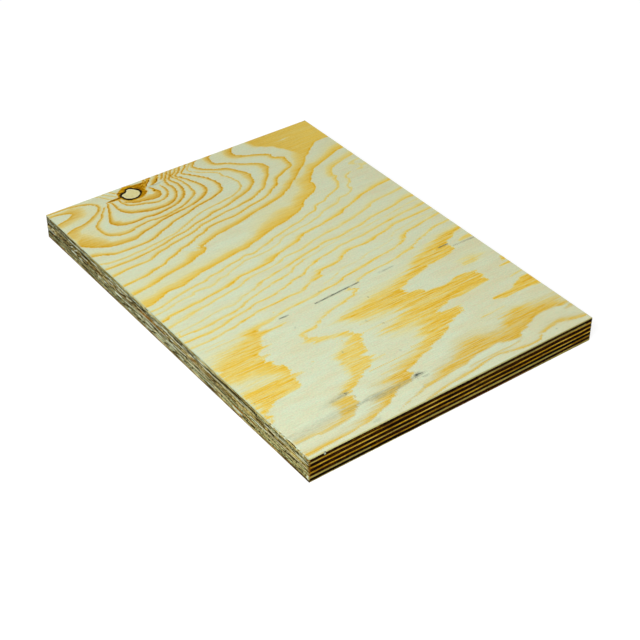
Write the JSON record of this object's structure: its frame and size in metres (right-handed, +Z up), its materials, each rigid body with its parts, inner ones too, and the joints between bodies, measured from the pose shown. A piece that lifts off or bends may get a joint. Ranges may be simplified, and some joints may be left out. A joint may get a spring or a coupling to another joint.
{
  "type": "plywood sheet",
  "caption": "Cut panel of softwood plywood lying flat, with a pine face veneer, a puttied knot hole and sawn edges that show alternating plies",
  "frame": {"origin": "middle of the panel's underside, on the surface it lies on", "axes": "X runs along the face grain, which is the panel's short side; Y runs along its long side; Z is up through the thickness"},
  "size_m": [0.22, 0.306, 0.018],
  "materials": {
    "face_pine": "sanded, unfinished rotary-cut pine with yellow latewood bands",
    "back_pine": "sanded, unfinished rotary-cut pine",
    "crossband_wood": "sawn veneer edge, dark brown end grain on one pair of edges and grey-brown side grain on the other",
    "core_wood": "sawn veneer edge, gold side grain on one pair of edges and grey-brown end grain on the other",
    "putty": "matt cream wood putty, dried and sanded"
  },
  "bodies": {
    "root": {"face_veneer": "face_pine", "knot_filler": "putty", "crossband_1": "crossband_wood", "crossband_2": "crossband_wood", "crossband_3": "crossband_wood", "crossband_4": "crossband_wood", "crossband_5": "crossband_wood", "core_ply_1": "core_wood", "core_ply_2": "core_wood", "core_ply_3": "core_wood", "core_ply_4": "core_wood", "back_veneer": "back_pine"}
  },
  "joints": []
}
